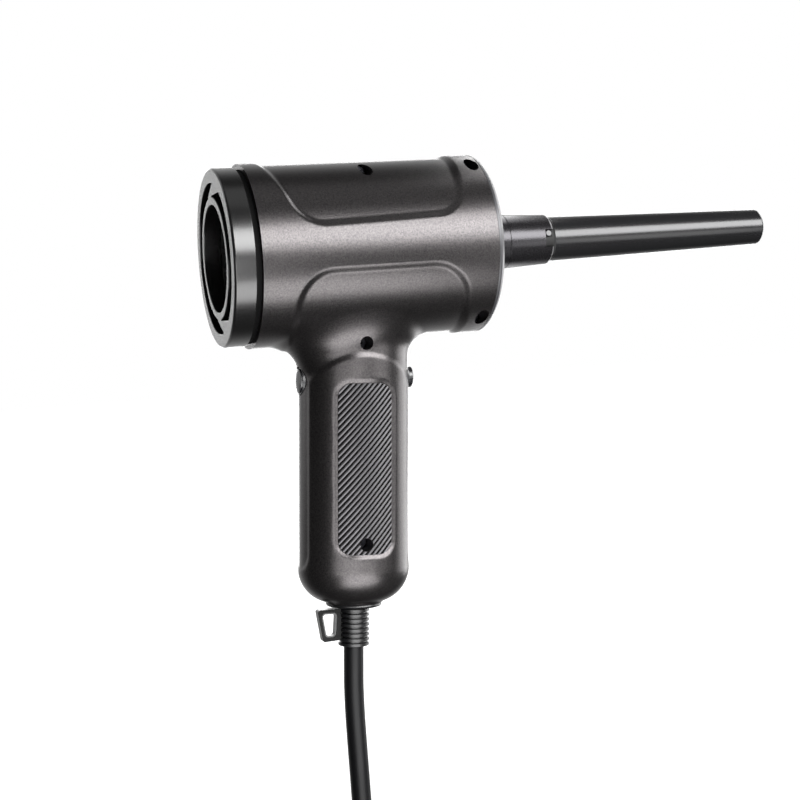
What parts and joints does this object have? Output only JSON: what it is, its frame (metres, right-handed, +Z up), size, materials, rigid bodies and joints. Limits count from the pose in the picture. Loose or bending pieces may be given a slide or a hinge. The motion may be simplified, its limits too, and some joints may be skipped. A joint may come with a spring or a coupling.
{
  "type": "car dryer blower",
  "caption": "Hand-held corded air blower for drying cars: barrel body on a leaning pistol grip, round intake cover, long tapered nozzle, two push buttons and a coiled mains cord.",
  "frame": {"origin": "middle of the grip, on the handle axis", "axes": "+X along the barrel towards the nozzle, +Z up and square to the barrel, -Y to the side that the screws go in from; the handle leans 4.5 degrees, its lower end towards -X"},
  "size_m": [0.2712, 0.1633, 0.3705],
  "materials": {
    "shell": "satin, with a fine metallic grain",
    "black_steel": "black oxide",
    "cap": "satin",
    "collar": "satin",
    "grip_rubber": "ridged, half gloss",
    "trim": "satin",
    "cord_rubber": "satin",
    "fan_plastic": "as moulded",
    "steel": "bright",
    "motor_steel": "zinc plated",
    "copper": "enamelled copper",
    "soft_rubber": "matt",
    "board": "solder mask",
    "capacitor": "shrink sleeve",
    "aluminium": "turned",
    "terminal": "as moulded",
    "switch": "as moulded",
    "lead_red": "insulated",
    "lead_brown": "insulated",
    "gloss": "high gloss",
    "filter": "open foam",
    "magnet": "coated ferrite",
    "button": "half gloss",
    "pins": "nickel plated"
  },
  "bodies": {
    "housing": {"right_shell": "shell", "left_shell": "shell", "shell_screws": "black_steel", "front_cap": "cap", "outlet_collar": "collar", "right_grip_inlay": "grip_rubber", "left_grip_inlay": "grip_rubber", "rear_button_ring": "trim", "front_button_ring": "trim", "strain_relief": "cord_rubber", "finger_guard": "trim", "fan_shroud": "fan_plastic", "diffuser": "fan_plastic", "rear_bearing": "steel", "front_bearing": "steel", "motor_can": "motor_steel", "stator_core": "motor_steel", "stator_windings": "copper", "motor_mount": "soft_rubber", "control_board": "board", "capacitor": "capacitor", "heat_sink": "aluminium", "terminal_block": "terminal", "board_screws": "steel", "power_switch": "switch", "speed_switch": "switch", "motor_leads": "lead_red", "mains_leads": "lead_brown", "cord_tail": "cord_rubber", "cord_clamp": "trim", "clamp_screws": "steel", "cord": "cord_rubber", "cord_coil": "cord_rubber", "plug": "cord_rubber", "plug_pins": "pins"},
    "rotor": {"rotor_shaft": "steel", "rotor_magnet": "magnet", "impeller": "aluminium", "impeller_nut": "steel"},
    "intake_cover": {"intake_cover": "gloss", "intake_filter": "filter"},
    "nozzle_seal": {"nozzle_seal": "soft_rubber"},
    "nozzle": {"nozzle_tube": "gloss"},
    "power_button": {"power_button": "button"},
    "speed_button": {"speed_button": "button"}
  },
  "joints": [
    {"name": "rotor_spin", "type": "hinge", "parent": "housing", "child": "rotor", "pos_m": [0.00761, 0, 0.0967], "axis": [1, 0, 0], "continuous": true},
    {"name": "cover_pull", "type": "slide", "parent": "housing", "child": "intake_cover", "axis": [-1, 0, 0], "range_m": [0, 0.012]},
    {"name": "nozzle_pull", "type": "slide", "parent": "housing", "child": "nozzle_seal", "axis": [1, 0, 0], "range_m": [0, 0.02]},
    {"name": "nozzle_twist", "type": "hinge", "parent": "nozzle_seal", "child": "nozzle", "pos_m": [0.08761, 0, 0.0967], "axis": [1, 0, 0], "range_deg": [0, 22]},
    {"name": "power_press", "type": "slide", "parent": "housing", "child": "power_button", "axis": [-0.9969, 0, 0.0785], "range_m": [0, 0.0012], "stiffness_N_per_m": 600, "springref_m": -0.001},
    {"name": "speed_press", "type": "slide", "parent": "housing", "child": "speed_button", "axis": [0.9969, 0, -0.0785], "range_m": [0, 0.0012], "stiffness_N_per_m": 600, "springref_m": -0.001}
  ]
}
